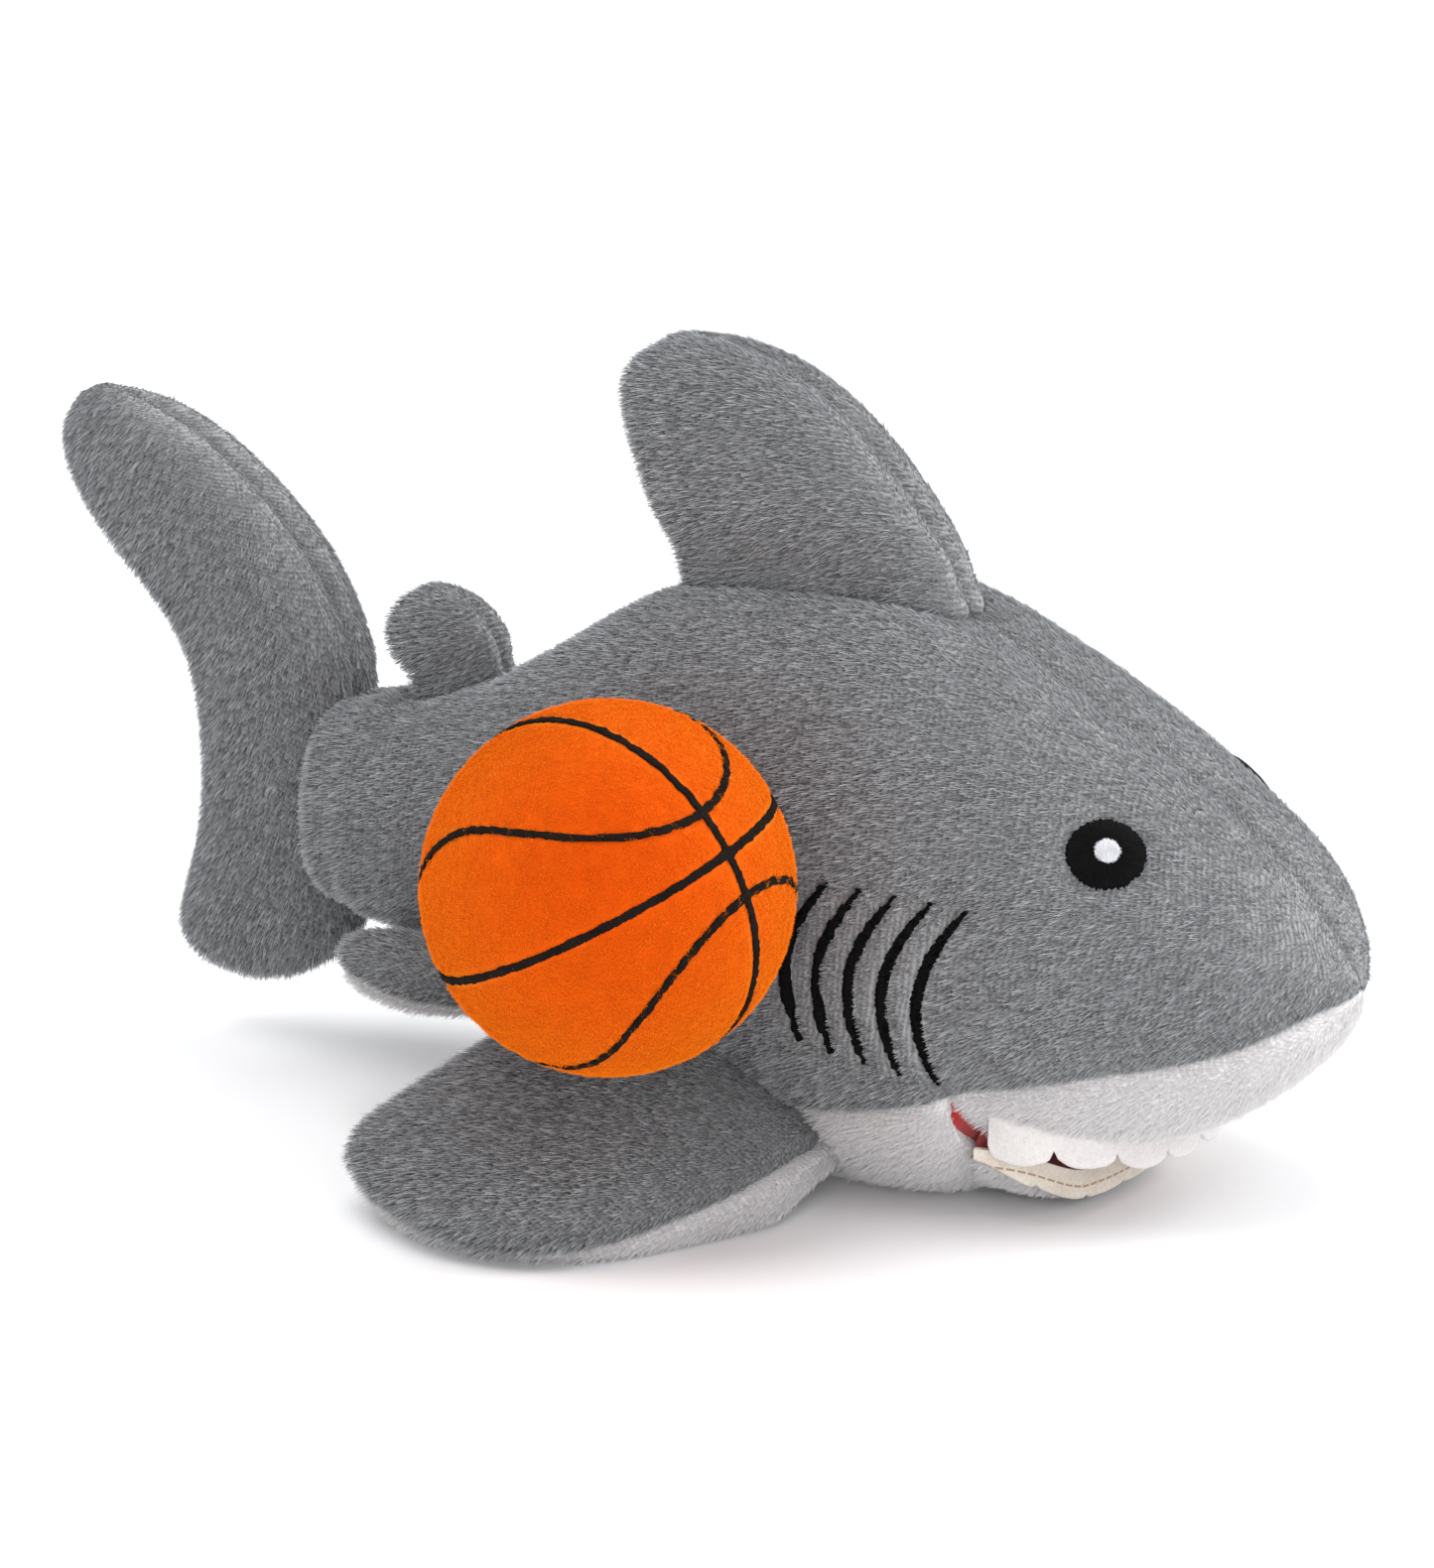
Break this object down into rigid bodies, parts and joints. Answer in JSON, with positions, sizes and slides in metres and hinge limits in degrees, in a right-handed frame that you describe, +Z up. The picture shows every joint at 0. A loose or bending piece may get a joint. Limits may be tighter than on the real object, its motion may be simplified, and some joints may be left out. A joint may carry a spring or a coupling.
{
  "type": "plush shark",
  "caption": "Sewn plush shark lying on its belly, with bendable stuffed fins, a soft open mouth with felt teeth and a flocked ball held against its right flank.",
  "frame": {"origin": "on the flat patch of belly that the toy rests on, in the mid-plane under the dorsal fin", "axes": "+X towards the nose, +Y to the shark's left, +Z up"},
  "size_m": [0.3014, 0.2221, 0.162],
  "materials": {
    "grey_plush": "short-pile plush, matt with a soft nap",
    "white_plush": "short-pile plush, matt",
    "red_lining": "thin smooth knit",
    "white_felt": "soft felt",
    "cream_felt": "soft felt with a stitch line",
    "black_thread": "satin-stitch embroidery",
    "white_thread": "satin-stitch embroidery",
    "orange_flock": "flocked jersey, matt",
    "hook_and_loop": "woven hook and loop tape",
    "fibre_fill": "polyester fibre fill"
  },
  "bodies": {
    "torso": {"back_panel_right": "grey_plush", "back_panel_left": "grey_plush", "belly_panel": "white_plush", "upper_lip_panel": "white_plush", "body_stuffing": "fibre_fill", "palate_lining": "red_lining", "upper_teeth": "white_felt", "eye_right": "black_thread", "eye_left": "black_thread", "glint_right": "white_thread", "glint_left": "white_thread", "gills_right": "black_thread", "gills_left": "black_thread", "flank_loop_dot": "hook_and_loop"},
    "lower_jaw": {"lower_jaw_cover": "white_plush", "lower_jaw_lining": "red_lining", "lower_jaw_stuffing": "fibre_fill", "lower_teeth": "cream_felt"},
    "dorsal_fin": {"dorsal_fin_right_panel": "grey_plush", "dorsal_fin_left_panel": "grey_plush", "dorsal_fin_stuffing": "fibre_fill"},
    "rear_dorsal_fin": {"rear_dorsal_fin_right_panel": "grey_plush", "rear_dorsal_fin_left_panel": "grey_plush", "rear_dorsal_fin_stuffing": "fibre_fill"},
    "tail_fin": {"tail_fin_right_panel": "grey_plush", "tail_fin_left_panel": "grey_plush", "tail_fin_stuffing": "fibre_fill"},
    "pectoral_fin_right": {"pectoral_right_top_panel": "grey_plush", "pectoral_right_bottom_panel": "white_plush", "pectoral_right_stuffing": "fibre_fill"},
    "pectoral_fin_left": {"pectoral_left_top_panel": "grey_plush", "pectoral_left_bottom_panel": "white_plush", "pectoral_left_stuffing": "fibre_fill"},
    "pelvic_fin_right": {"pelvic_right_top_panel": "grey_plush", "pelvic_right_bottom_panel": "white_plush", "pelvic_right_stuffing": "fibre_fill"},
    "pelvic_fin_left": {"pelvic_left_top_panel": "grey_plush", "pelvic_left_bottom_panel": "white_plush", "pelvic_left_stuffing": "fibre_fill"},
    "ball": {"ball_cover_upper": "orange_flock", "ball_cover_lower": "orange_flock", "ball_stuffing": "fibre_fill", "ball_ring_lines": "black_thread", "ball_curve_lines": "black_thread", "ball_hook_dot": "hook_and_loop"}
  },
  "joints": [
    {"name": "tail_swing", "type": "hinge", "parent": "torso", "child": "tail_fin", "pos_m": [-0.117, 0, 0.058], "axis": [0, 0, 1], "range_deg": [-25, 25], "stiffness_Nm_per_rad": 0.15},
    {"name": "dorsal_lean", "type": "hinge", "parent": "torso", "child": "dorsal_fin", "pos_m": [-0.003, 0, 0.1175], "axis": [1, 0, 0], "range_deg": [-20, 20], "stiffness_Nm_per_rad": 0.06},
    {"name": "rear_dorsal_lean", "type": "hinge", "parent": "torso", "child": "rear_dorsal_fin", "pos_m": [-0.09, 0, 0.085], "axis": [1, 0, 0], "range_deg": [-25, 25], "stiffness_Nm_per_rad": 0.01},
    {"name": "pectoral_right_flap", "type": "hinge", "parent": "torso", "child": "pectoral_fin_right", "pos_m": [-0.0045, -0.0465, 0.0235], "axis": [-0.8927, 0.062, 0.4464], "range_deg": [-20, 18], "stiffness_Nm_per_rad": 0.15},
    {"name": "pectoral_left_flap", "type": "hinge", "parent": "torso", "child": "pectoral_fin_left", "pos_m": [-0.0045, 0.0465, 0.0235], "axis": [0.8927, 0.062, -0.4464], "range_deg": [-20, 45], "stiffness_Nm_per_rad": 0.15},
    {"name": "pelvic_right_flap", "type": "hinge", "parent": "torso", "child": "pelvic_fin_right", "pos_m": [-0.068, -0.0265, 0.03], "axis": [-0.9416, -0.3055, 0.1412], "range_deg": [-25, 25], "stiffness_Nm_per_rad": 0.01},
    {"name": "pelvic_left_flap", "type": "hinge", "parent": "torso", "child": "pelvic_fin_left", "pos_m": [-0.068, 0.0265, 0.03], "axis": [0.9416, -0.3055, -0.1412], "range_deg": [-25, 25], "stiffness_Nm_per_rad": 0.01},
    {"name": "jaw_open", "type": "hinge", "parent": "torso", "child": "lower_jaw", "pos_m": [0.046, 0, 0.016], "axis": [0, 1, 0], "range_deg": [-6, 12], "stiffness_Nm_per_rad": 0.02},
    {"name": "ball_pull_off", "type": "slide", "parent": "torso", "child": "ball", "axis": [-0.1573, -0.9815, 0.1095], "range_m": [0, 0.12]}
  ]
}
